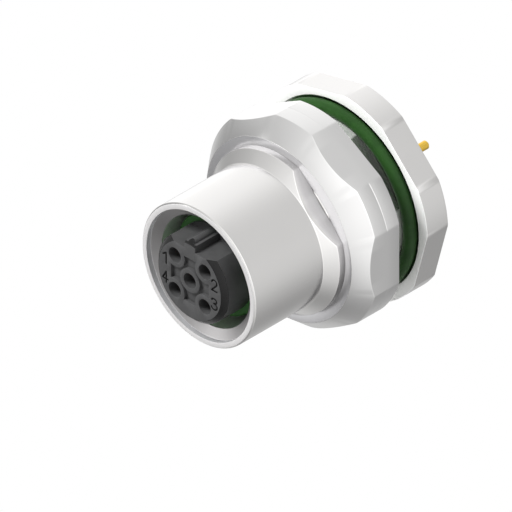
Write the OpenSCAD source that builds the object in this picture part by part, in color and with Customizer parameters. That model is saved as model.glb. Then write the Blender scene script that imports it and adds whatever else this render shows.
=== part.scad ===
// Circular M12 socket with five contacts, for a panel, with solder tails for a circuit board.
// The axis is Y: the mating face looks along -Y and the solder tails along +Y.
// The origin is on the axis in the front face of the flange, where the panel seats.
// The coding key is at the top, +Z. Both threads are drawn plain, at the sizes that the mates see.

/* [Front tube] */
// Outer diameter of the front tube
tube_d = 14; // [13.7:0.1:14.8]
// Length of the front tube, from the rim to the lead-in of the panel thread
tube_len = 8.44; // [7.8:0.1:9.5]
// Core diameter of the coupling thread inside the tube
coupling_d = 10.92; // [10.7:0.02:11.2]
// Diameter of the plain entry at the rim
rim_d = 12.8; // [12.4:0.1:13.2]
// Length of the plain entry at the rim, in front of the lead-in
rim_entry = 0.53; // [0.4:0.01:0.6]
// Depth of the coupling thread, from the rim
coupling_depth = 8.6; // [7.5:0.1:9.4]
// Edge break on the outside of the rim
rim_break = 0.15; // [0.05:0.05:0.25]

/* [Panel thread] */
// Outer diameter of the panel thread
thread_d = 16; // [15.8:0.1:16.4]
// Length of the panel thread in front of the flange, with its lead-in
thread_len = 9.34; // [8.9:0.1:10.5]
// Distance from the axis to the flat that stops the socket turning in the panel
flat_distance = 7.02; // [6.9:0.02:7.4]
// Direction of that flat, measured from +X towards the key
flat_angle = 45; // [0:5:90]

/* [Hexagons] */
// Width of the flange and of the lock nut across their flats
hexagon_af = 20; // [19.6:0.1:21]
// Diameter that the corners of both are turned to
hexagon_d = 21; // [20.8:0.1:22]

/* [Flange] */
// Thickness of the flange
flange_t = 2.59; // [2.4:0.05:4]
// Outer diameter of the recess for the panel seal
recess_d = 18.8; // [18.7:0.05:19.2]
// Depth of the recess for the panel seal
recess_depth = 0.3; // [0.2:0.05:0.6]

/* [Lock nut] */
// Height of the lock nut
nut_h = 4.88; // [4.2:0.1:5.2]
// Distance from the lock nut to the flange: the panel and the squeezed seal
nut_gap = 2.95; // [2.6:0.1:3.4]
// Diameter of the front edge of the lock nut
nut_face_d = 17.92; // [17.6:0.05:18.4]
// Length of the cone on the front of the lock nut
nut_cone_len = 1.84; // [1.4:0.05:2.2]
// Depth that the front face of the lock nut is dished
nut_dish = 0.15; // [0.05:0.05:0.3]
// Width of the fine groove round the middle of the lock nut
nut_groove_w = 0.16; // [0.1:0.02:0.3]
// Depth of that groove
nut_groove_depth = 0.12; // [0.06:0.02:0.2]
// Direction of a flat of the lock nut as it is tightened
nut_angle = 0; // [0:5:60]

/* [Contact carrier] */
// Radial gap between the nose and the coupling thread, which takes the plug's skirt
skirt_gap = 1.13; // [1.05:0.01:1.25]
// Distance that the nose stands out past the rim
nose_proud = 1.04; // [0.5:0.1:1.5]
// Edge break round the face of the nose
nose_break = 0.46; // [0.3:0.02:0.6]
// Radial gap between the seal's seat and the coupling thread
seat_clearance = 0.51; // [0.4:0.01:0.6]
// Depth of the seal seat behind the rim
seat_depth = 3; // [2.8:0.1:3.6]
// Step behind the nose that keeps the socket seal in place
seal_step = 0.12; // [0.05:0.01:0.2]
// Depth of the flat beside the key, below the top of the nose
key_floor_depth = 1.05; // [0.9:0.02:1.2]
// Width of the coding key
key_w = 1.3; // [1.1:0.05:1.4]
// Length of the coding key and its flat, from the face
key_len = 3; // [2.5:0.1:3.2]
// Distance that the square pocket in the face reaches past the contacts' axes
pocket_margin = 0.485; // [0.4:0.005:0.6]
// Depth of the pocket
pocket_depth = 0.3; // [0.2:0.05:0.5]
// Outer diameter of the ring that is left round each contact hole
ring_d = 2.4; // [2.2:0.02:2.5]
// Diameter of the contact holes
hole_d = 1.5; // [1.48:0.01:1.6]
// Distance from the outer contacts' axes to the edge of the nose
contact_inset = 1.72; // [1.6:0.02:1.85]

/* [Rear of the carrier] */
// Width of the carrier's shoulder, from its seat to the wall of the rear bore
shoulder_w = 1.25; // [1.1:0.05:1.4]
// Depth of that bore from the rear of the flange
rear_bore_depth = 6.87; // [6.4:0.05:7.4]
// Length of the rear carrier's disc
guide_len = 2.05; // [1.8:0.05:2.2]
// Radial gap between the rear carrier's boss and the retaining ring
boss_clearance = 0.35; // [0.2:0.05:0.5]
// Distance that the boss stands out past the rear of the flange
guide_proud = 0.3; // [0.1:0.05:0.5]

/* [Contacts] */
// Outer diameter of a contact's socket
socket_d = 1.4; // [1.36:0.02:1.44]
// Bore of a contact's socket
pin_bore_d = 1.02; // [0.98:0.01:1.06]
// Depth of that bore
pin_bore_depth = 5.5; // [5:0.1:6]
// Distance from the carrier's face to the end of the socket
socket_recess = 1.3; // [1.2:0.05:1.8]
// Width of the slots between the spring fingers
slot_w = 0.16; // [0.12:0.01:0.18]
// Length of those slots
slot_len = 4.5; // [4:0.1:4.9]
// Diameter of a contact's collar
collar_d = 2; // [1.9:0.02:2.1]
// Length of a contact's collar
collar_len = 2.3; // [1.8:0.1:2.8]
// Diameter of a contact's shank, behind the collar
shank_d = 1.2; // [1.1:0.02:1.3]
// Distance that the shanks stand out of the boss, as a stop for the board
shank_proud = 0.3; // [0.15:0.05:0.5]
// Diameter of a solder tail
tail_d = 0.82; // [0.76:0.02:0.9]
// Length of the solder tails behind the flange
tail_len = 5.98; // [4:0.1:8]

/* [Seals and retaining ring] */
// Section of the panel seal
panel_seal_section = 1.25; // [1.1:0.01:1.32]
// Thickness of the socket seal
socket_seal_t = 0.7; // [0.5:0.05:0.75]
// Section of the seal behind the carrier's shoulder
carrier_seal_section = 0.8; // [0.7:0.02:0.9]
// Thickness of the retaining ring
clip_t = 0.5; // [0.4:0.05:0.6]
// Radial width of the retaining ring
clip_w = 1; // [0.9:0.02:1.1]
// Depth that the retaining ring's groove is cut into the rear bore
clip_bite = 0.35; // [0.25:0.05:0.45]
// Distance from the rear of the flange to that groove
clip_cover = 0.5; // [0.4:0.05:0.8]
// Opening of the retaining ring, in degrees
clip_gap = 50; // [40:5:70]

/* [Hidden] */
$fn = 96;

// Gap round a piece that lies in another without moving
seat_gap = 0.03;
// Radial gap of the lock nut on the panel thread
nut_gap_r = 0.05;
// Overshoot of a cut past the face that it opens
past = 0.1;
// Distance that the key's round top stays below the nose's own radius
key_drop = 0.02;
// Edge break in the mouths of the bores and on the boss
small_break = 0.2;
// Edge break on both ends of a contact
contact_break = 0.12;

// Places along the axis
rim_y = -(tube_len + thread_len);
cone_y = -thread_len;
coupling_end_y = rim_y + coupling_depth;
nut_rear_y = -nut_gap;
nut_front_y = nut_rear_y - nut_h;
nut_corner_y = nut_front_y + nut_cone_len;
nut_groove_y = (nut_corner_y + nut_rear_y) / 2;
face_y = rim_y - nose_proud;
seat_y = rim_y + seat_depth;
key_end_y = face_y + key_len;
rear_bore_y = flange_t - rear_bore_depth;
shoulder_y = rear_bore_y + carrier_seal_section;
clip_groove_t = clip_t + 2 * seat_gap;
clip_y = flange_t - clip_cover - clip_groove_t;
split_y = clip_y - guide_len;
collar_y = split_y - collar_len;
guide_end_y = flange_t + guide_proud;
shank_end_y = guide_end_y + shank_proud;
socket_y = face_y + socket_recess;
tail_end_y = flange_t + tail_len;

// Radii
tube_r = tube_d / 2;
thread_r = thread_d / 2;
hexagon_r = hexagon_d / 2;
nut_bore_r = thread_r + nut_gap_r;
nose_r = coupling_d / 2 - skirt_gap;
seat_r = coupling_d / 2 - seat_clearance;
rear_bore_r = seat_r + shoulder_w;
rear_fit_r = rear_bore_r - seat_gap;
web_r = seat_r + seat_gap;
seal_floor_r = nose_r - seal_step;
seal_y = seat_y - socket_seal_t;
clip_outer_r = rear_bore_r + clip_bite;
clip_inner_r = clip_outer_r - clip_w;
boss_r = clip_inner_r - boss_clearance;
chamber_r = collar_d / 2 + seat_gap;
shank_r = shank_d / 2;
contact_step = (nose_r - contact_inset) / sqrt(2);
pocket_w = 2 * (contact_step + pocket_margin);
key_floor = nose_r - key_floor_depth;
key_top = nose_r - key_drop;

// Seen from the front: 1 upper left, 2 upper right, 3 lower right, 4 lower left, 5 in the middle
contact_xz = [
    [-contact_step, contact_step],
    [contact_step, contact_step],
    [contact_step, -contact_step],
    [-contact_step, -contact_step],
    [0, 0]
];

// Stands a shape that was drawn up along Z along the Y axis instead
module along_y() {
    rotate([-90, 0, 0]) children();
}

// A solid turned about the Y axis: each point is [radius, place along Y]
module turned(points) {
    along_y() rotate_extrude() polygon(points);
}

// A round bar about the Y axis from one place to another
module bar(r, from, to) {
    translate([0, from, 0]) along_y() cylinder(r = r, h = to - from);
}

// A hexagon bar about the Y axis, with one flat that looks in the direction given
module hexagon_bar(across, from, to, direction) {
    translate([0, from, 0]) along_y() rotate([0, 0, 30 - direction])
        cylinder(d = across / cos(30), h = to - from, $fn = 6);
}

// A ring of round section about the Y axis
module round_ring(middle_r, middle_y, section) {
    along_y() rotate_extrude() translate([middle_r, middle_y]) circle(d = section, $fn = 48);
}

// Puts its children on every contact's axis
module at_contacts() {
    for (place = contact_xz) translate([place[0], 0, place[1]]) children();
}

// Everything outside the flat on the panel thread, in front of the flange
module outside_flat() {
    rotate([0, -flat_angle, 0])
        translate([flat_distance, cone_y - past, -thread_r])
            cube([thread_r, thread_len + past, thread_d]);
}

// One turned piece: tube, panel thread, flange, and the bores for the plug and the carrier
module housing() {
    lead_in = (rim_d - coupling_d) / 2;
    color("silver") difference() {
        intersection() {
            turned([
                [rim_d / 2, rim_y],
                [tube_r - rim_break, rim_y],
                [tube_r, rim_y + rim_break],
                [tube_r, cone_y],
                [thread_r, cone_y + thread_r - tube_r],
                [thread_r, recess_depth],
                [recess_d / 2, recess_depth],
                [recess_d / 2, 0],
                [hexagon_r, 0],
                [hexagon_r, flange_t],
                [rear_bore_r + small_break, flange_t],
                [rear_bore_r, flange_t - small_break],
                [rear_bore_r, rear_bore_y],
                [web_r, rear_bore_y],
                [web_r, coupling_end_y],
                [coupling_d / 2, coupling_end_y],
                [coupling_d / 2, rim_y + lead_in],
                [rim_d / 2, rim_y + rim_entry]
            ]);
            hexagon_bar(hexagon_af, rim_y - past, flange_t + past, flat_angle);
        }
        outside_flat();
        bar(clip_outer_r + seat_gap, clip_y, clip_y + clip_groove_t);
    }
}

// Hexagon nut with a coned front and a fine groove round its turned corners
module lock_nut() {
    color("gainsboro") intersection() {
        turned([
            [nut_bore_r, nut_front_y + nut_dish],
            [nut_face_d / 2, nut_front_y],
            [hexagon_r, nut_corner_y],
            [hexagon_r, nut_groove_y - nut_groove_w / 2],
            [hexagon_r - nut_groove_depth, nut_groove_y],
            [hexagon_r, nut_groove_y + nut_groove_w / 2],
            [hexagon_r, nut_rear_y],
            [nut_bore_r + small_break, nut_rear_y],
            [nut_bore_r, nut_rear_y - small_break]
        ]);
        hexagon_bar(hexagon_af, nut_front_y - past, nut_rear_y + past, nut_angle);
    }
}

// Seal between the flange and the panel
module panel_seal() {
    color("darkgreen") round_ring(
        thread_r + panel_seal_section / 2 + seat_gap,
        recess_depth - panel_seal_section / 2,
        panel_seal_section
    );
}

// Flat seal on the carrier's seat, which the plug presses on
module socket_seal() {
    edge = (seat_r - nose_r) / 4;
    color("darkgreen") turned([
        [seal_floor_r + seat_gap, seal_y],
        [seat_r - edge, seal_y],
        [seat_r, seal_y + edge],
        [seat_r, seat_y],
        [seal_floor_r + seat_gap, seat_y]
    ]);
}

// Outline of the nose with its key, from the face to the end of the key
module key_outline() {
    top_z = key_top - key_w / 2;
    reach = nose_r + past;
    translate([0, key_end_y, 0]) rotate([90, 0, 0]) linear_extrude(key_len + past) union() {
        translate([-reach, -reach]) square([2 * reach, reach + key_floor]);
        translate([-key_w / 2, 0]) square([key_w, top_z]);
        translate([0, top_z]) circle(d = key_w);
    }
    bar(nose_r + past, key_end_y, seat_y + past);
}

// Square pocket in the face, which leaves a ring round each contact hole
module face_pocket() {
    difference() {
        translate([-pocket_w / 2, face_y - past, -pocket_w / 2])
            cube([pocket_w, pocket_depth + past, pocket_w]);
        at_contacts() bar(ring_d / 2, face_y - 2 * past, face_y + pocket_depth + past);
    }
}

// Moulded carrier that holds the five contacts and fills the housing from the seat to the flange
module contact_carrier() {
    color("dimgray") difference() {
        union() {
            intersection() {
                turned([
                    [0, face_y],
                    [nose_r - nose_break, face_y],
                    [nose_r, face_y + nose_break],
                    [nose_r, seal_y],
                    [seal_floor_r, seal_y],
                    [seal_floor_r, seat_y + past],
                    [0, seat_y + past]
                ]);
                key_outline();
            }
            turned([
                [0, seat_y],
                [seat_r, seat_y],
                [seat_r, shoulder_y],
                [rear_fit_r, shoulder_y],
                [rear_fit_r, split_y],
                [0, split_y]
            ]);
        }
        face_pocket();
        at_contacts() {
            bar(hole_d / 2, face_y - past, split_y + past);
            bar(chamber_r, collar_y - seat_gap, split_y + past);
        }
    }
}

// Seal between the carrier's shoulder and the end of the rear bore
module carrier_seal() {
    color("black") round_ring(
        (seat_r + rear_bore_r) / 2,
        (rear_bore_y + shoulder_y) / 2,
        carrier_seal_section
    );
}

// Disc with a boss that closes the carrier from the rear and traps the contacts' collars
module rear_carrier() {
    color("black") difference() {
        turned([
            [0, split_y],
            [rear_fit_r, split_y],
            [rear_fit_r, clip_y],
            [boss_r, clip_y],
            [boss_r, guide_end_y - small_break],
            [boss_r - small_break, guide_end_y],
            [0, guide_end_y]
        ]);
        at_contacts() bar(shank_r + seat_gap, split_y - past, guide_end_y + past);
    }
}

// Split spring ring in the groove of the rear bore
module retaining_ring() {
    from_y = clip_y + seat_gap;
    reach = 2 * clip_outer_r;
    half_gap = clip_gap / 2;
    color("dimgray") difference() {
        bar(clip_outer_r, from_y, from_y + clip_t);
        bar(clip_inner_r, from_y - past, from_y + clip_t + past);
        translate([0, from_y - past, 0]) along_y() linear_extrude(clip_t + 2 * past)
            polygon([
                [0, 0],
                [-reach * sin(half_gap), reach * cos(half_gap)],
                [reach * sin(half_gap), reach * cos(half_gap)]
            ]);
    }
}

// One contact: a slotted socket, a collar, a shank and a solder tail
module contact(index) {
    place = contact_xz[index - 1];
    edge = contact_break;
    tail_r = tail_d / 2;
    socket_r = socket_d / 2;
    color("gold") translate([place[0], 0, place[1]]) difference() {
        turned([
            [0, socket_y],
            [socket_r - edge, socket_y],
            [socket_r, socket_y + edge],
            [socket_r, collar_y],
            [collar_d / 2, collar_y],
            [collar_d / 2, split_y - seat_gap],
            [shank_r, split_y - seat_gap],
            [shank_r, shank_end_y],
            [tail_r, shank_end_y],
            [tail_r, tail_end_y - edge],
            [tail_r - edge, tail_end_y],
            [0, tail_end_y]
        ]);
        bar(pin_bore_d / 2, socket_y - past, socket_y + pin_bore_depth);
        for (turn = [0, 90]) rotate([0, turn + 45, 0])
            translate([-slot_w / 2, socket_y - past, -socket_d])
                cube([slot_w, slot_len + past, 2 * socket_d]);
    }
}

housing();
lock_nut();
panel_seal();
socket_seal();
contact_carrier();
carrier_seal();
rear_carrier();
retaining_ring();
contact(1);  // contact_1
contact(2);  // contact_2
contact(3);  // contact_3
contact(4);  // contact_4
contact(5);  // contact_5
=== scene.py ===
from math import atan2, cos, pi, radians, sin

import bmesh
import bpy
from mathutils import Matrix, Vector


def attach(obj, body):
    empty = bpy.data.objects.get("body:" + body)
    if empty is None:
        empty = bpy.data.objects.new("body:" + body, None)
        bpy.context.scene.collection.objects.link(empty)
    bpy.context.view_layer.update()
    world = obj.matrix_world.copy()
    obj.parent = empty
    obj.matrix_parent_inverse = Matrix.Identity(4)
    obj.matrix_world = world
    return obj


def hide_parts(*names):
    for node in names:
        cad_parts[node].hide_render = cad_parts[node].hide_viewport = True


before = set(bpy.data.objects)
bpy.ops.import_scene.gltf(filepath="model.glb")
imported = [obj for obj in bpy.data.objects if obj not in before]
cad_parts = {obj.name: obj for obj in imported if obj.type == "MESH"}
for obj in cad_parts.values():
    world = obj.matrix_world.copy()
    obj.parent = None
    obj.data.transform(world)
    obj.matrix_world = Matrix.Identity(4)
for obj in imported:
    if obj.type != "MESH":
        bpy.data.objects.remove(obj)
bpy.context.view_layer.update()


# Housing: one piece turned from brass bar and nickel plated. The front tube takes the plug's screw, the neck
# carries the panel thread with one milled flat, and the flange is what is left of the hexagon bar.
# Sizes are in millimetres from the flange's front face, which is y = 0, and the plug comes from -y.

# Along the axis, outside: the tube's rim, the cone to the neck, the thread's two ends and the back.
RIM, CONE, THREAD_FRONT, THREAD_BACK, BACK = -17.78, -9.34, -7.555, -2.9, 2.59
# Along the axis, inside: the end of the entry and of the lead-in, the waist's step, and the insert's shoulder.
ENTRY, LEAD_IN, STEP, SHOULDER = -17.25, -16.84, -9.18, -4.28
# From the axis, outside: the tube, the neck and its flat, the recess for the seal, the hexagon and its corners.
TUBE, NECK, NECK_FLAT, RECESS, HEXAGON, CORNER = 7.0, 8.0, 7.02, 9.4, 10.0, 10.49
# From the axis, inside: the entry, the bore, the waist, the rear bore and its groove for the retaining ring.
MOUTH, BORE, WAIST, REAR_BORE, RING_GROOVE = 6.4, 5.46, 4.98, 6.2, 6.56
RING_FROM, RING_TO, RECESS_DEPTH = 1.52, 2.06, 0.3
# The rim's outer chamfer, and the narrow band beside an edge of the hexagon in which the light turns.
RIM_CHAMFER, EDGE_BAND = 0.14, 0.15

# The panel thread under the lock nut is drawn as rings, so that the nut turns without catching: its root, the
# nut's core, the middle of each ridge, and half of a ridge's width at its root and at its crest.
ROOT, CORE, RIDGES, FLANK, CREST = 7.12, 7.23, [-6.625 + k * 1.5 for k in range(3)], 0.57, 0.06
# A thin collar inside the nut's mouth closes the gap beside the flat.
COLLAR, COLLAR_FRONT, COLLAR_BACK = 7.22, -7.36, -7.28


def soft_min(a, b, blend):
    """The smaller of two radii, with the edge where they meet eased off."""
    meet = max(blend - abs(a - b), 0) / blend
    return min(a, b) - meet * meet * blend / 4


def flat_side(angle, facing, distance, count=1):
    """How far a milled flat, or each of several round the bar, lies from the axis at this angle."""
    pitch = 2 * pi / count
    off = (angle - radians(facing) + pitch / 2) % pitch - pitch / 2
    out_of_reach, nearly_edge_on = 1000.0, 1.4
    return distance / cos(off) if abs(off) < nearly_edge_on else out_of_reach


def stops_round(step, *edges):
    """Angles round the axis in degrees, every step and closely on both sides of each edge of a flat."""
    stops = {round(i * step, 4) for i in range(round(360 / step))}
    for edge in edges:
        stops.update(round((edge + d) % 360, 4) for d in (-0.8, -0.4, -0.15, 0, 0.15, 0.4, 0.8))
    kept = []
    for stop in sorted(stops):
        if not kept or stop - kept[-1] > 0.1:
            kept.append(stop)
    return [radians(stop) for stop in kept]


def eased(corners, steps=3):
    """A section's corners [radius, y, ease], each rounded off by its own ease."""
    line = []
    for i, (r, y, ease) in enumerate(corners):
        here = Vector((r, y))
        if not ease:
            line.append(here)
            continue
        before, after = Vector(corners[i - 1][:2]) - here, Vector(corners[(i + 1) % len(corners)][:2]) - here
        start = here + before.normalized() * min(ease, before.length * 0.45)
        end = here + after.normalized() * min(ease, after.length * 0.45)
        for k in range(steps + 1):
            t = k / steps
            line.append(start * (1 - t) ** 2 + here * 2 * t * (1 - t) + end * t * t)
    return line


def turned(angles, section):
    """A closed solid round the Y axis, drawn in millimetres. section(angle) is its outline there. Points whose
    distance from the axis is the same all the way round are marked with the number of their edge."""
    work = bmesh.new()
    circular = work.verts.layers.int.new("circular")
    rings, nudge = [], 0.02
    for angle in angles:
        line, before, after = section(angle), section(angle - nudge), section(angle + nudge)
        ring = [work.verts.new((r * cos(angle), y, r * sin(angle))) for r, y in line]
        for k, (vert, here, one, other) in enumerate(zip(ring, line, before, after)):
            vert[circular] = k + 1 if abs(here[0] - one[0]) + abs(here[0] - other[0]) < 1e-5 else 0
        rings.append(ring)
    for ring, following in zip(rings, rings[1:] + rings[:1]):
        for k in range(len(ring)):
            m = (k + 1) % len(ring)
            corners = (ring[k], following[k], following[m], ring[m])
            if len({tuple(v.co) for v in corners}) > 2:
                work.faces.new(corners)
    return work


SAME_POINT = 0.0002


def put(name, data):
    """Puts a mesh, a lamp or a camera in the scene."""
    thing = bpy.data.objects.new(name, data)
    bpy.context.scene.collection.objects.link(thing)
    return thing


def smooth_in_metres(mesh):
    mesh.transform(Matrix.Scale(0.001, 4))
    for face in mesh.polygons:
        face.use_smooth = True


def keep_mesh(name, work):
    """Closes a mesh that was drawn in millimetres and makes it a piece in metres."""
    bmesh.ops.remove_doubles(work, verts=work.verts, dist=SAME_POINT)
    bmesh.ops.dissolve_degenerate(work, dist=SAME_POINT, edges=work.edges)
    bmesh.ops.recalc_face_normals(work, faces=work.faces)
    mesh = bpy.data.meshes.new(name)
    work.to_mesh(mesh)
    work.free()
    smooth_in_metres(mesh)
    return put(name, mesh)


def applied(solid):
    """Works a piece's modifiers into its mesh."""
    bpy.context.view_layer.update()
    mesh = bpy.data.meshes.new_from_object(solid.evaluated_get(bpy.context.evaluated_depsgraph_get()))
    solid.modifiers.clear()
    old, solid.data = solid.data, mesh
    bpy.data.meshes.remove(old)


def even_shading(piece):
    """Keeps flat faces flat in the light, and gives each circular edge one slope all the way round."""
    flat = piece.modifiers.new("even_shading", "WEIGHTED_NORMAL")
    flat.weight = 100
    flat.keep_sharp = True
    applied(piece)
    mesh = piece.data
    circular = mesh.attributes.get("circular")
    if circular:
        normals = [Vector(corner.vector) for corner in mesh.corner_normals]
        slopes = {}
        for i, loop in enumerate(mesh.loops):
            x, y, z = mesh.vertices[loop.vertex_index].co
            out = Vector((x, 0, z)).normalized()
            edge = circular.data[loop.vertex_index].value
            slopes.setdefault(edge, []).append((atan2(normals[i].y, normals[i].dot(out)), i, out))
        slopes.pop(0, None)
        for corners in slopes.values():
            slope = sorted(corners, key=lambda corner: corner[0])[len(corners) // 2][0]
            for _, i, out in corners:
                normals[i] = out * cos(slope) + Vector((0, sin(slope), 0))
        mesh.normals_split_custom_set(normals)
        mesh.attributes.remove(circular)
    return piece


def dish(r):
    """Where the lock nut's front face lies at this radius."""
    return -7.55 - (max(r, CORE) - CORE) / 7


def housing_section(angle):
    """The housing's outline at this angle: the tube, the neck with its thread, the flange, and back inside."""
    neck = soft_min(flat_side(angle, 45, NECK_FLAT), NECK, 0.03)
    root = min(neck, ROOT)
    side = soft_min(flat_side(angle, 45, HEXAGON, 6), CORNER, 0.04)
    corners = [
        [MOUTH, RIM, 0.02], [TUBE - RIM_CHAMFER, RIM, 0.02], [TUBE, RIM + RIM_CHAMFER, 0.02], [TUBE, CONE, 0.05],
        [neck, CONE + neck - TUBE, 0.05], [neck, dish(neck) - 0.01, 0.005], [root, THREAD_FRONT, 0.005],
        [COLLAR, COLLAR_FRONT, 0.02], [COLLAR, COLLAR_BACK, 0.02], [root, COLLAR_BACK + 0.08, 0.02],
    ]
    for ridge in RIDGES:
        corners += [
            [root, ridge - FLANK, 0], [neck, ridge - CREST, 0.01],
            [neck, ridge + CREST, 0.01], [root, ridge + FLANK, 0],
        ]
    corners += [
        [root, THREAD_BACK, 0.02], [neck, THREAD_BACK + 0.04, 0.02],
        [neck, RECESS_DEPTH, 0.03], [RECESS, RECESS_DEPTH, 0.03], [RECESS, 0, 0.05],
        [side - EDGE_BAND, 0, 0], [side, 0, 0.07], [side, BACK, 0.07], [side - EDGE_BAND, BACK, 0],
        [REAR_BORE + 0.3, BACK, 0], [REAR_BORE + 0.2, BACK, 0.04], [REAR_BORE, BACK - 0.2, 0.03],
        [REAR_BORE, RING_TO, 0.02], [RING_GROOVE, RING_TO, 0.02],
        [RING_GROOVE, RING_FROM, 0.02], [REAR_BORE, RING_FROM, 0.02],
        [REAR_BORE, SHOULDER, 0.04], [WAIST, SHOULDER, 0.04], [WAIST, STEP, 0.03], [BORE, STEP, 0.03],
        [BORE, LEAD_IN, 0.02], [MOUTH, ENTRY, 0.02],
    ]
    return eased(corners)


# How far the edges of a hexagon's side and of the neck's flat lie from their middle, in degrees.
hexagon_edge, flat_edge = 17.753, 28.66
flange_edges = [45 + 60 * k + s * hexagon_edge for k in range(6) for s in (-1, 1)]
housing_stops = stops_round(1.5, *flange_edges, 45 - flat_edge, 45 + flat_edge)
housing = even_shading(keep_mesh("housing_turned", turned(housing_stops, housing_section)))
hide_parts("housing")
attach(housing, "socket")


class Wire:
    """A socket of a material, which Python's own operators work on."""

    def __init__(self, tree, socket=None):
        self.tree, self.socket = tree, socket

    def node(self, kind, settings, inputs, output=0):
        """Adds a node: its settings first, then the values or wires of its sockets."""
        made = self.tree.nodes.new(kind)
        for name, value in settings.items():
            setattr(made, name, value)
        for name, value in inputs.items():
            if isinstance(value, Wire):
                value.join(made, name)
            else:
                made.inputs[name].default_value = value
        return Wire(self.tree, made.outputs[output])

    def join(self, node, socket):
        self.tree.links.new(self.socket, node.inputs[socket])

    def math(self, operation, *values):
        return self.node("ShaderNodeMath", {"operation": operation}, dict(enumerate(values)))

    def __add__(self, other):
        return self.math("ADD", self, other)

    def __sub__(self, other):
        return self.math("SUBTRACT", self, other)

    def __rsub__(self, other):
        return self.math("SUBTRACT", other, self)

    def __mul__(self, other):
        return self.math("MULTIPLY", self, other)

    def __truediv__(self, other):
        return self.math("DIVIDE", self, other)

    def __rtruediv__(self, other):
        return self.math("DIVIDE", other, self)

    def __pow__(self, other):
        return self.math("POWER", self, other)

    def __rpow__(self, other):
        return self.math("POWER", other, self)

    def __abs__(self):
        return self.math("ABSOLUTE", self)

    __radd__, __rmul__ = __add__, __mul__

    def vector(self, operation, inputs, output=0):
        return self.node("ShaderNodeVectorMath", {"operation": operation}, {0: self, **inputs}, output)

    def part(self, k):
        """One of a vector's parts: 0 is x, 1 is y and 2 is z."""
        return self.node("ShaderNodeSeparateXYZ", {}, {0: self}, k)

    def between(self, low, high):
        """0 below low, 1 above high and a soft rise between them."""
        inputs = {"Value": self, "From Min": low, "From Max": high}
        return self.node("ShaderNodeMapRange", {"interpolation_type": "SMOOTHSTEP"}, inputs)

    def within(self, low, high, soft=0.02):
        """1 from low to high, and 0 a little beyond them."""
        return self.between(low - soft, low) * (high + soft - self).between(0.0, soft)

    def mix(self, none, full):
        """A colour that goes from one to another as this goes from 0 to 1."""
        first, second = (c if isinstance(c, Wire) else (*c, 1) for c in (none, full))
        return self.node("ShaderNodeMix", {"data_type": "RGBA"}, {"Factor": self, 6: first, 7: second}, 2)

    def noise(self, scale, detail, rough):
        """Noise over these places."""
        inputs = {"Vector": self, "Scale": scale, "Detail": detail, "Roughness": rough}
        return self.node("ShaderNodeTexNoise", {}, inputs)


def paint(name, same_all_over):
    """A new material, its shader, and a wire to build on. What is the same all over is set on the shader."""
    material = bpy.data.materials.new(name)
    material.use_nodes = True
    shader = material.node_tree.nodes["Principled BSDF"]
    for socket, value in same_all_over.items():
        shader.inputs[socket].default_value = value
    return material, shader, Wire(material.node_tree)


def places(wire):
    """Where on the object a point is, in millimetres: the point, its y and its distance from the axis."""
    here = wire.node("ShaderNodeTexCoord", {}, {}, "Object").vector("SCALE", {"Scale": 1000.0})
    x, y, z = (here.part(k) for k in range(3))
    return here, y, (x * x + z * z) ** 0.5


def coat(shader, colour, rough, grain, strength, depth=0.00002):
    """Joins what changes over a surface to its shader: colour, roughness and a relief from the grain."""
    bump = grain.node("ShaderNodeBump", {}, {"Strength": strength, "Distance": depth, "Height": grain})
    colour.join(shader, "Base Color")
    rough.join(shader, "Roughness")
    bump.join(shader, "Normal")


def nickel(name, tint, faces):
    """Bright nickel over turned brass: the tool's fine rings show under the plate, with a faint cloud in it.
    faces are the zones where light, shade and reflections are painted into the plate: colour, metallic and
    added roughness there, then where each lies, as a range of y and one of the distance from the axis."""
    material, shader, wire = paint(name, {})
    here, y, reach = places(wire)
    rings_per_mm = 14.0
    rings = wire.node("ShaderNodeCombineXYZ", {}, {0: reach * rings_per_mm, 1: y * rings_per_mm, 2: 0.0})
    lines, cloud = rings.noise(1.0, 2.0, 0.6), here.noise(0.35, 3.0, 0.55)
    colour = cloud.mix([c * 0.975 for c in tint], tint)
    rough, metal = 0.11 + lines * 0.06 + cloud * 0.05, 1.0
    for face, metallic, added, (y_from, y_to), (r_from, r_to) in faces:
        painted_zone = y.within(y_from, y_to) * reach.within(r_from, r_to)
        colour = painted_zone.mix(colour, face)
        rough, metal = rough + painted_zone * added, metal - painted_zone * (1.0 - metallic)
    coat(shader, colour, rough, lines, 0.05)
    metal.join(shader, "Metallic")
    return material


# Where light, shade and reflections are painted into the plate, each as colour, metallic, added roughness, y and
# distance from the axis: the flange's front face painted near white as painted light, the neck's flat tinted
# green as a painted reflection of the seal, the round of the neck painted lighter and a little green, the rim's
# face and the lead-in painted darker as painted shade, the entry painted a little lighter and less metallic as
# painted light, and the bore tinted green as a painted reflection of the seal.
flange_front = ((0.97, 0.97, 0.96), 0.1, 0.3, (-0.02, 0.02), (RECESS - 0.05, 11.0))
neck_flat = ((0.82, 0.87, 0.80), 0.84, 0.06, (-2.94, -0.05), (6.6, NECK - 0.07))
neck_round = ((0.90, 0.92, 0.89), 0.5, 0.2, (-2.94, -0.05), (NECK - 0.05, 8.2))
rim = ((0.70, 0.69, 0.69), 0.4, 0.3, (RIM - 0.02, RIM + 0.01), (6.3, 6.9))
entry = ((0.84, 0.84, 0.86), 0.7, 0.3, (RIM + 0.03, ENTRY - 0.01), (6.3, MOUTH + 0.02))
lead_in = ((0.46, 0.45, 0.45), 0.9, 0.25, (ENTRY + 0.02, LEAD_IN - 0.01), (5.4, MOUTH - 0.02))
bore_wall = ((0.74, 0.84, 0.72), 0.5, 0.2, (LEAD_IN + 0.02, STEP + 0.08), (5.3, 5.5))
painted_light_faces = [flange_front, neck_flat, neck_round, rim, entry, lead_in, bore_wall]
housing.data.materials.append(nickel("bright_nickel", (0.80, 0.79, 0.78), painted_light_faces))


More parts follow.
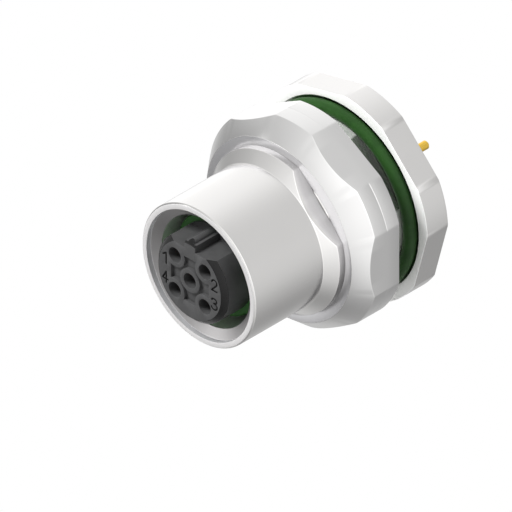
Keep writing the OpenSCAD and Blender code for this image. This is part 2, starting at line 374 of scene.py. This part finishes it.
# Lock nut: hexagon brass bar, turned to a cone in front and nickel plated, with a fine ring cut round its
# corners. It runs on the panel thread and clamps the panel against the flange.

# Where the cone starts, how far it runs back for each millimetre outwards, the fine ring, and the back.
CONE_FOOT, CONE_Y, CONE_SLOPE, RING_CUT, NUT_BACK = 8.96, -7.83, 1.84 / 1.54, -4.47, -2.95
# The thread inside: its root, and half of a groove's width at the core and at the root.
NUT_ROOT, NUT_FLANK, NUT_CREST = 8.05, 0.575, 0.078


def nut_section(angle):
    """The nut's outline at this angle: the dish, the cone, the side with its fine ring, and the thread."""
    side = soft_min(flat_side(angle, 0, HEXAGON, 6), CORNER, 0.04)
    corners = [
        [CORE, dish(CORE), 0.005], [NECK, dish(NECK), 0.04], [CONE_FOOT, CONE_Y, 0.01],
        [side, CONE_Y + (side - CONE_FOOT) * CONE_SLOPE, 0.06],
        [side, RING_CUT - 0.05, 0.01], [min(side, CORNER - 0.025), RING_CUT, 0], [side, RING_CUT + 0.05, 0.01],
        [side, NUT_BACK, 0.06], [side - EDGE_BAND, NUT_BACK, 0],
        [CORE + 0.1, NUT_BACK, 0], [CORE, NUT_BACK, 0.02],
    ]
    for ridge in reversed(RIDGES):
        corners += [
            [CORE, ridge + NUT_FLANK, 0.02], [NUT_ROOT, ridge + NUT_CREST, 0],
            [NUT_ROOT, ridge - NUT_CREST, 0], [CORE, ridge - NUT_FLANK, 0.02],
        ]
    return eased(corners)


nut_edges = [60 * k + s * hexagon_edge for k in range(6) for s in (-1, 1)]
lock_nut = even_shading(keep_mesh("lock_nut_turned", turned(stops_round(1.5, *nut_edges), nut_section)))
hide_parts("lock_nut")
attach(lock_nut, "nut")
# The nut's dished front face is painted darker and faintly lilac, as painted shade, and is less metallic there.
dished_face = ((0.66, 0.655, 0.67), 0.90, 0.14, (CONE_Y - 0.01, -7.5), (7.0, 8.9))
lock_nut.data.materials.append(nickel("nut_nickel", (0.78, 0.775, 0.77), [dished_face]))


# Panel seal: a moulded rubber ring of round section, dark green, that lies in the flange's recess. The fine
# ridge round it is where the two halves of its mould met.

SEAL_RING, SEAL_Y, SEAL_SECTION, SEAL_POINTS, FLASH = 8.655, -0.325, 0.615, 48, 0.02


def rubber(name, dark, light):
    """Moulded rubber with a fine grain and a thin bloom on it."""
    material, shader, wire = paint(name, {"Specular IOR Level": 0.2})
    here = places(wire)[0]
    grain, bloom = here.noise(14.0, 4.0, 0.6), here.noise(0.8, 3.0, 0.6)
    coat(shader, bloom.between(0.3, 0.7).mix(dark, light), 0.42 + bloom * 0.12 + grain * 0.06, grain, 0.12)
    return material


def seal_section(_):
    """The seal's round section, with half of the flash at its outermost and its innermost point."""
    line = []
    for k in range(SEAL_POINTS):
        turn = 2 * pi * k / SEAL_POINTS
        flash = FLASH if k in (0, SEAL_POINTS // 2) else 0
        line.append((SEAL_RING + (SEAL_SECTION + flash / 2) * cos(turn), SEAL_Y + SEAL_SECTION * sin(turn)))
    return line


panel_seal = even_shading(keep_mesh("panel_seal_ring", turned(stops_round(2), seal_section)))
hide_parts("panel_seal")
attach(panel_seal, "socket")
panel_seal.data.materials.append(rubber("green_rubber", (0.013, 0.045, 0.009), (0.018, 0.062, 0.012)))


# Socket seal: a flat green rubber ring, moulded to shape and snapped over the step behind the nose. Its own
# stretch holds it there, and the plug's skirt presses on it.

def finish(node, material):
    """Gives a solid of the CAD model its finish."""
    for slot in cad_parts[node].material_slots:
        slot.material = material


# This green rubber is painted about three times brighter than the panel seal's, as painted light inside the
# mouth.
finish("socket_seal", rubber("green_rubber_painted_light", (0.04, 0.16, 0.03), (0.055, 0.2, 0.045)))


# Contact carrier: moulded in one shot from black glass-filled plastic and pushed in from behind. Its nose has a
# flat-topped key with a thin ridge on it, a square pocket that leaves a ring round each contact hole, and the
# contact numbers sunk into its face.

# Along the axis: the face, the seat of the socket seal, and the disc that bears on the housing's shoulder.
FACE, SEAT_FROM, SEAT_TO, DISC_FROM, DISC_TO = -18.82, -15.48, -14.78, -3.48, -0.53
# From the axis: the nose and its chamfer, the seal's seat, the body in the housing's waist, and the disc.
NOSE, CHAMFER, SEAT, BODY, DISC = 4.33, 0.46, 4.21, 4.95, 6.17
# The holes, their wider rear parts for the contacts' collars, the ring round each hole, and the square pocket.
HOLE, COLLAR_HOLE, COLLARS_FROM, HOLE_RING, POCKET, POCKET_DEPTH = 0.75, 1.03, -2.9, 1.2, 2.33, 0.3
SPREAD = 1.8455
CONTACTS = [(-SPREAD, SPREAD), (SPREAD, SPREAD), (SPREAD, -SPREAD), (-SPREAD, -SPREAD), (0.0, 0.0)]
# The key: where it stands up from the flat beside it, its flat top, its half width, its ridge and its length.
KEY_FOOT, KEY_TOP, KEY_HALF, RIDGE, KEY_LENGTH = 3.28, 3.96, 0.65, 0.34, 3.0
# How far the solids that cut stand over the face, and out past the nose.
OVER, BEYOND = 0.1, 5


def prism(outline, y_from, y_to):
    """A closed solid with this outline, seen from the front as [x, z], between two places along the axis."""
    work = bmesh.new()
    front = [work.verts.new((x, y_from, z)) for x, z in outline]
    back = [work.verts.new((x, y_to, z)) for x, z in outline]
    work.faces.new(front)
    work.faces.new(list(reversed(back)))
    for i in range(len(outline)):
        j = (i + 1) % len(outline)
        work.faces.new((front[j], front[i], back[i], back[j]))
    bmesh.ops.recalc_face_normals(work, faces=work.faces)
    return work


def arc(x, z, r, start, end, steps):
    """Points [x, z] on part of a circle, from one angle to another."""
    turns = [start + (end - start) * k / steps for k in range(steps + 1)]
    return [(x + r * cos(turn), z + r * sin(turn)) for turn in turns]


def blank(work):
    """A helper solid in millimetres, to cut or to be cut."""
    bmesh.ops.remove_doubles(work, verts=work.verts, dist=SAME_POINT)
    bmesh.ops.recalc_face_normals(work, faces=work.faces)
    for mark in list(work.verts.layers.int):
        work.verts.layers.int.remove(mark)
    mesh = bpy.data.meshes.new("blank")
    work.to_mesh(mesh)
    work.free()
    return put("blank", mesh)


def drills(r, points, y_from, y_to):
    """One round bar on the axis of each contact hole."""
    return [blank(prism(arc(x, z, r, 0, 2 * pi, points)[:-1], y_from, y_to)) for x, z in CONTACTS]


def cut(solid, tools, operation="DIFFERENCE"):
    """Works each tool into the solid and throws the tool away."""
    for tool in tools:
        step = solid.modifiers.new("cut", "BOOLEAN")
        step.operation, step.object, step.solver = operation, tool, "EXACT"
        step.material_mode = "TRANSFER"
    applied(solid)
    for tool in tools:
        bpy.data.objects.remove(tool)


carrier_line = [
    [0, FACE, 0], [NOSE - CHAMFER, FACE, 0.03], [NOSE, FACE + CHAMFER, 0.03],
    [NOSE, SEAT_FROM, 0.02], [SEAT, SEAT_FROM, 0.02], [SEAT, SEAT_TO, 0.02], [BODY, SEAT_TO, 0.04],
    [BODY, DISC_FROM, 0.04], [DISC, DISC_FROM, 0.04], [DISC, DISC_TO, 0.04], [0, DISC_TO, 0],
]
carrier = blank(turned(stops_round(3), lambda angle: eased(carrier_line)))
beside_key = [
    (BEYOND, KEY_FOOT), (BEYOND, BEYOND), (-BEYOND, BEYOND), (-BEYOND, KEY_FOOT), (-KEY_HALF, KEY_FOOT),
    (-KEY_HALF, KEY_TOP), *arc(0, KEY_TOP, RIDGE, pi, 0, 16), (KEY_HALF, KEY_TOP), (KEY_HALF, KEY_FOOT),
]
square = [(POCKET, -POCKET), (POCKET, POCKET), (-POCKET, POCKET), (-POCKET, -POCKET)]
pocket = blank(prism(square, FACE - OVER, FACE + POCKET_DEPTH))
cut(pocket, drills(HOLE_RING, 64, FACE - 0.3, FACE + 0.5))
cut(carrier, [blank(prism(beside_key, FACE - OVER, FACE + KEY_LENGTH)), pocket])
cut(carrier, drills(HOLE, 48, FACE - OVER, 0))
cut(carrier, drills(COLLAR_HOLE, 48, COLLARS_FROM, 0))


def black_plastic(name, dark, light, painted_dark_cone=None):
    """Glass-filled nylon from a spark-eroded mould: a fine even grain, a little paler where it was handled.
    The last argument is a 45 degree cone, the chamfer round the nose, which is painted near black as painted
    shade, given as its distance from the axis less y."""
    material, shader, wire = paint(name, {"Specular IOR Level": 0.3})
    here, y, reach = places(wire)
    grain, patch = here.noise(22.0, 3.0, 0.6), here.noise(0.9, 2.0, 0.5)
    colour, rough = patch.between(0.3, 0.7).mix(dark, light), 0.28 + grain * 0.12
    if painted_dark_cone:
        # Shade painted near black on the nose's chamfer.
        cone = (0.05 - abs(reach - y - painted_dark_cone)).between(0.0, 0.02)
        colour, rough = cone.mix(colour, (0.005, 0.005, 0.005)), rough - cone * 0.1
    coat(shader, colour, rough, grain, 0.12)
    return material


# The numbers 1 to 4 as a scriber would draw them: where each stands on the face, and its lines through [x, z].
bow_of_2 = arc(0, 0.255, 0.32, radians(170), radians(-28), 9)
NUMBERS = (
    ((-3.02, 1.0), [[(-0.28, 0.3), (0.1, 0.575), (0.1, -0.575)]]),
    ((3.02, 1.0), [[(-0.32, 0.3), *bow_of_2, (-0.32, -0.575), (0.325, -0.575)]]),
    ((3.02, -1.0), [
        [(-0.32, 0.4), (-0.2, 0.54), (0.02, 0.575), (0.24, 0.5), (0.3, 0.33), (0.21, 0.15), (-0.06, 0.06)],
        [(-0.06, 0.06), (0.2, 0.0), (0.33, -0.16), (0.34, -0.36), (0.2, -0.53), (-0.04, -0.575), (-0.25, -0.5),
         (-0.34, -0.33)],
    ]),
    ((-3.02, -1.0), [[(0.12, -0.575), (0.12, 0.575), (-0.325, -0.22), (0.325, -0.22)]]),
)
SCRIBER, SUNK = 0.17, 0.12


def scribed(line):
    """One solid bar for each stretch of a scribed line, with round ends, so that they join."""
    bars = []
    for (x0, z0), (x1, z1) in zip(line, line[1:]):
        along = Vector((x1 - x0, z1 - z0)).normalized()
        lean = atan2(along.y, along.x)
        far = arc(x1, z1, SCRIBER / 2, lean - pi / 2, lean + pi / 2, 6)
        near = arc(x0, z0, SCRIBER / 2, lean + pi / 2, lean + pi * 3 / 2, 6)
        bars.append(blank(prism(far + near, FACE - OVER, FACE + SUNK)))
    return bars


# The sunk numbers are painted near black, far darker than the plastic round them, as painted shade in their
# grooves.
sunk = paint("sunk_numbers_painted_shade", {"Base Color": (0.003, 0.003, 0.003, 1), "Roughness": 0.8})[0]
# The nose's chamfer, where shade is painted near black.
chamfer_cone = NOSE - CHAMFER - FACE
moulded = black_plastic("black_moulded", (0.054, 0.054, 0.055), (0.062, 0.062, 0.063), chamfer_cone)
carrier.data.materials.clear()
carrier.data.materials.append(moulded)
for (x, z), lines in NUMBERS:
    for line in lines:
        bars = scribed([(x + a, z + b) for a, b in line])
        for bar in bars:
            bar.data.materials.append(sunk)
        cut(bars[0], bars[1:], "UNION")
        cut(carrier, [bars[0]])

edge = carrier.modifiers.new("edge", "BEVEL")
edge.width, edge.segments, edge.limit_method, edge.angle_limit = 0.025, 2, "ANGLE", radians(35)
edge.use_clamp_overlap = True
applied(carrier)
carrier.name = "contact_carrier_moulded"
carrier.data.name = carrier.name
smooth_in_metres(carrier.data)
even_shading(carrier)
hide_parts("contact_carrier")
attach(carrier, "socket")


# Rear carrier: the second half of the insert, a disc with a boss, moulded from the same black plastic. It is
# pushed in behind the contacts and traps their collars.

finish("rear_carrier", black_plastic("black_moulded_rear", (0.05, 0.05, 0.052), (0.062, 0.062, 0.064)))


# Carrier seal: a small moulded ring of black rubber, squeezed between the carrier's shoulder and the housing.
# It is hidden once the socket is put together.

finish("carrier_seal", rubber("black_rubber", (0.012, 0.012, 0.012), (0.018, 0.018, 0.018)))


# Retaining ring: a split ring of spring steel, stamped and blued. It is sprung into its groove behind the rear
# carrier and keeps both halves of the insert in.

def spring_steel(name):
    """Blued steel with the patches that the heat left on it."""
    material, shader, wire = paint(name, {"Metallic": 1.0})
    scale = places(wire)[0].noise(2.2, 4.0, 0.6)
    colour = scale.between(0.35, 0.65).mix((0.16, 0.17, 0.2), (0.27, 0.26, 0.26))
    coat(shader, colour, 0.28 + scale * 0.16, scale, 0.08)
    return material


finish("retaining_ring", spring_steel("blued_spring_steel"))


# Contacts: turned from brass wire, slotted in front so that the fingers grip a plug's pin, and gold plated all
# over. The collar is trapped between the two halves of the insert, and the tail is soldered into a board.

def gold(name):
    """Gold over drawn wire, with the fine lines that the drawing left along it."""
    material, shader, wire = paint(name, {"Metallic": 1.0})
    lines = places(wire)[0].vector("MULTIPLY", {1: (9.0, 0.6, 9.0)}).noise(1.0, 3.0, 0.6)
    colour = lines.between(0.3, 0.7).mix((0.80, 0.50, 0.07), (0.90, 0.62, 0.12))
    coat(shader, colour, 0.2 + lines * 0.12, lines, 0.06, 0.00001)
    return material


gold_plate = gold("gold_plate")
for number in range(1, 6):
    finish(f"contact_{number}", gold_plate)


# Studio: a white floor, and wide soft lights all round, dimmed for dull surfaces, with a tall strip light in
# front on the left for the metal. One soft lamp hangs above the left shoulder, and the camera looks down a
# cube's diagonal with parallel lines of sight.

back = Vector((1, -1, 1)).normalized()
aim = Vector((0.007126, -0.01778, 0.005706))
FLOOR, HALF_FLOOR, PICTURE_WIDTH, AWAY = -0.12, 3, 0.044677, 0.3

floor_mesh = bpy.data.meshes.new("floor")
floor_corners = [(x * HALF_FLOOR, y * HALF_FLOOR, FLOOR) for x, y in ((-1, -1), (1, -1), (1, 1), (-1, 1))]
floor_mesh.from_pydata(floor_corners, [], [(0, 1, 2, 3)])
floor = put("floor", floor_mesh)
floor.visible_glossy = False
floor_paint, floor_shader, wire = paint("floor_paint", {"Base Color": (0.8, 0.8, 0.8, 1), "Roughness": 0.9})
white = wire.node("ShaderNodeEmission", {}, {"Color": (1, 1, 1, 1), "Strength": 1.0})
seen = wire.node("ShaderNodeLightPath", {}, {}, "Is Camera Ray")
mixed = wire.node("ShaderNodeMixShader", {}, {0: seen, 1: Wire(wire.tree, floor_shader.outputs[0]), 2: white})
mixed.join(wire.tree.nodes["Material Output"], "Surface")
floor_mesh.materials.append(floor_paint)

world = bpy.data.worlds.new("studio")
bpy.context.scene.world = world
world.use_nodes = True
sky = Wire(world.node_tree)
toward = sky.node("ShaderNodeTexCoord", {}, {}, "Generated")

# Each light: the way to it, how tight it is and how strong.
level = 0.081
for way, tight, strength in (
    ((0.80, -0.49, 0.34), 2, 0.99), ((0.95, 0.09, -0.31), 2, 0.71), ((0.56, -0.04, 0.82), 5, 0.94),
    ((-0.22, -0.65, 0.72), 5, 0.58), ((-0.65, 0.44, 0.62), 2, 1.02), ((-0.65, 0.76, -0.08), 12, 0.65),
    ((-0.77, 0.57, -0.29), 30, 0.32), ((-0.43, 0.27, -0.86), 5, 0.54), ((0.57, -0.23, -0.79), 12, 0.21),
    ((-0.57, -0.52, -0.64), 20, 0.36), ((0.10, 0.98, 0.15), 6, 0.45),
):
    facing = toward.vector("DOT_PRODUCT", {1: Vector(way).normalized()}, "Value")
    level = level + facing.math("MAXIMUM", facing, 0.0) ** tight * strength

# The strip light reaches from well below the part to above it.
up = toward.part(2)
facing = toward.vector("DOT_PRODUCT", {1: Vector((-0.72, -0.69, 0)).normalized()}, "Value")
beside = (facing / (1.0 - up * up) ** 0.5).between(0.94, 0.985)
strip = up.between(-0.48, -0.30) * (0.50 - up).between(0.0, 0.2) * beside
level = level + strip * 1.7

dimmed = 0.65
level = level * (1.0 - sky.node("ShaderNodeLightPath", {}, {}, "Is Diffuse Ray") * dimmed)
shade = sky.node("ShaderNodeCombineColor", {}, {0: level, 1: level, 2: level})
lit = sky.node("ShaderNodeBackground", {}, {"Color": shade, "Strength": 1.0})
plain = sky.node("ShaderNodeBackground", {}, {"Color": (1, 1, 1, 1), "Strength": 1.0})
camera_ray = sky.node("ShaderNodeLightPath", {}, {}, "Is Camera Ray")
both = sky.node("ShaderNodeMixShader", {}, {0: camera_ray, 1: lit, 2: plain})
for node in list(world.node_tree.nodes):
    if node.type == "OUTPUT_WORLD":
        both.join(node, "Surface")

lamp = bpy.data.lights.new("soft_lamp", "AREA")
lamp.shape, lamp.size, lamp.energy = "DISK", 0.12, 1.4
lamp_object = put("soft_lamp", lamp)
lamp_object.location = aim + Vector((-0.36, -0.5, 0.79)).normalized() * AWAY
lamp_object.rotation_euler = (aim - lamp_object.location).to_track_quat("-Z", "Y").to_euler()
lamp_object.visible_glossy = False

camera = bpy.data.cameras.new("camera")
camera.type, camera.ortho_scale = "ORTHO", PICTURE_WIDTH
camera.clip_start, camera.clip_end = 0.01, 5.0
camera_object = put("camera", camera)
camera_object.location = aim + back * AWAY
camera_object.rotation_euler = (-back).to_track_quat("-Z", "Y").to_euler()
bpy.context.scene.camera = camera_object
bpy.context.scene.view_settings.view_transform = "Standard"
